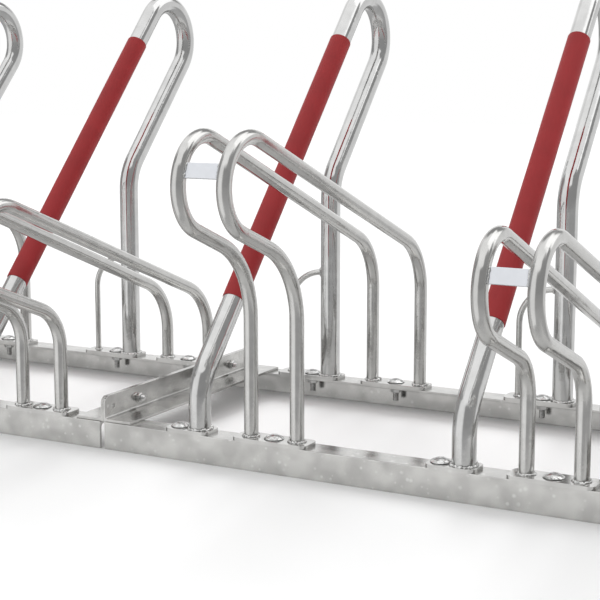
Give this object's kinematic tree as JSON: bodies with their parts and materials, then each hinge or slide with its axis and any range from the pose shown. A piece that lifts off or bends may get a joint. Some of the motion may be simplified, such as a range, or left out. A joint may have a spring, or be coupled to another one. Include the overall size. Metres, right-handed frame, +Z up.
{
  "type": "bike rack",
  "caption": "Galvanised floor-standing row bike rack with high and low front-wheel hoops, slanted lean-on hoops and locking eyes on bolted angle-rail modules.",
  "frame": {"origin": "middle of the rack's bounding box, on the ground", "axes": "+X along the rails to the right, +Y from the noses of the hoops to the back, +Z up"},
  "size_m": [2, 1.0104, 0.85],
  "materials": {
    "hoop_zinc": "hot-dip galvanised tube, bright grey with soft long stripes",
    "lean_zinc": "hot-dip galvanised large tube, glossy grey",
    "rail_zinc": "hot-dip galvanised angle, light grey with pale spangle",
    "plate_zinc": "hot-dip galvanised plate with weld beads",
    "bright_strip": "bright smooth flat bar",
    "fastener_zinc": "zinc-plated fasteners, slightly darker",
    "red_sleeve": "satin dark red shrink sleeve"
  },
  "bodies": {
    "root": {"front_rail_1": "rail_zinc", "back_rail_1": "rail_zinc", "left_cross_angle_1": "rail_zinc", "right_cross_angle_1": "rail_zinc", "front_rail_2": "rail_zinc", "back_rail_2": "rail_zinc", "left_cross_angle_2": "rail_zinc", "right_cross_angle_2": "rail_zinc", "left_wheel_hoop_1": "hoop_zinc", "right_wheel_hoop_1": "hoop_zinc", "tyre_stop_1": "bright_strip", "front_wheel_plate_1": "plate_zinc", "back_wheel_plate_1": "plate_zinc", "lean_hoop_1": "lean_zinc", "lean_sleeve_1": "red_sleeve", "locking_eye_1": "hoop_zinc", "front_lean_plate_1": "plate_zinc", "back_lean_plate_1": "plate_zinc", "left_wheel_hoop_2": "hoop_zinc", "right_wheel_hoop_2": "hoop_zinc", "tyre_stop_2": "bright_strip", "front_wheel_plate_2": "plate_zinc", "back_wheel_plate_2": "plate_zinc", "lean_hoop_2": "lean_zinc", "lean_sleeve_2": "red_sleeve", "locking_eye_2": "hoop_zinc", "front_lean_plate_2": "plate_zinc", "back_lean_plate_2": "plate_zinc", "left_wheel_hoop_3": "hoop_zinc", "right_wheel_hoop_3": "hoop_zinc", "tyre_stop_3": "bright_strip", "front_wheel_plate_3": "plate_zinc", "back_wheel_plate_3": "plate_zinc", "lean_hoop_3": "lean_zinc", "lean_sleeve_3": "red_sleeve", "locking_eye_3": "hoop_zinc", "front_lean_plate_3": "plate_zinc", "back_lean_plate_3": "plate_zinc", "left_wheel_hoop_4": "hoop_zinc", "right_wheel_hoop_4": "hoop_zinc", "tyre_stop_4": "bright_strip", "front_wheel_plate_4": "plate_zinc", "back_wheel_plate_4": "plate_zinc", "lean_hoop_4": "lean_zinc", "lean_sleeve_4": "red_sleeve", "locking_eye_4": "hoop_zinc", "front_lean_plate_4": "plate_zinc", "back_lean_plate_4": "plate_zinc", "cup_head_bolts": "fastener_zinc", "rail_nuts": "fastener_zinc", "coupling_bolts": "fastener_zinc", "coupling_nuts": "fastener_zinc"}
  },
  "joints": []
}
